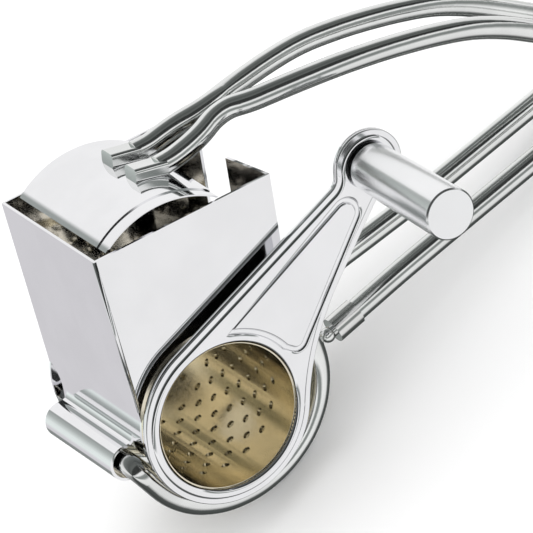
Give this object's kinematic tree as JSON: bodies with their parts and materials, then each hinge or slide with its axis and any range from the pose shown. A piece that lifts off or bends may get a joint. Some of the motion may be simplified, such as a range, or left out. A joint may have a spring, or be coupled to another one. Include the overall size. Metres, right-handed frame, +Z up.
{
  "type": "rotary cheese grater",
  "caption": "Hand-cranked drum grater: open hopper over a perforated drum in a bent-rod cradle, with a hinged presser lever and a hairpin lower handle.",
  "frame": {"origin": "middle of the footprint's box on the table top, as it rests on its two cradle hoops and its hinge clip", "axes": "+X along the handles towards the hinge, +Y along the drum's axis away from the crank, +Z up"},
  "size_m": [0.2088, 0.1178, 0.1097],
  "materials": {
    "sheet_steel": "mirror polished sheet",
    "rod_steel": "polished rod",
    "drum_steel": "satin",
    "fitting_steel": "turned, satin",
    "knob_steel": "polished tube"
  },
  "bodies": {
    "frame": {"front_wall": "sheet_steel", "near_side_wall": "sheet_steel", "far_side_wall": "sheet_steel", "rear_apron": "sheet_steel", "near_drum_collar": "drum_steel", "far_bush": "fitting_steel", "cradle_hoop": "rod_steel", "lower_handle": "rod_steel", "near_ferrule": "fitting_steel", "far_ferrule": "fitting_steel", "hinge_clip": "fitting_steel", "hinge_rivet": "fitting_steel"},
    "presser_lever": {"upper_handle": "rod_steel", "presser_plate": "sheet_steel"},
    "crank": {"grating_drum": "drum_steel", "mouth_ring": "drum_steel", "drum_end_disc": "drum_steel", "drum_spindle": "fitting_steel", "drum_washer": "fitting_steel", "thumb_nut": "fitting_steel", "crank_plate": "sheet_steel", "knob_axle": "fitting_steel"},
    "knob": {"knob_sleeve": "knob_steel", "knob_end_cap": "knob_steel", "knob_base_bush": "fitting_steel", "knob_tip_bush": "fitting_steel"}
  },
  "joints": [
    {"name": "presser_hinge", "type": "hinge", "parent": "frame", "child": "presser_lever", "pos_m": [0.09995, 0.02345, 0.01657], "axis": [0, 1, 0], "range_deg": [-14.5, 65]},
    {"name": "crank_spin", "type": "hinge", "parent": "frame", "child": "crank", "pos_m": [-0.06898, 0.01845, 0.04065], "axis": [0, 1, 0], "continuous": true},
    {"name": "knob_spin", "type": "hinge", "parent": "crank", "child": "knob", "pos_m": [0.01196, -0.03555, 0.06726], "axis": [0, 1, 0], "continuous": true}
  ]
}
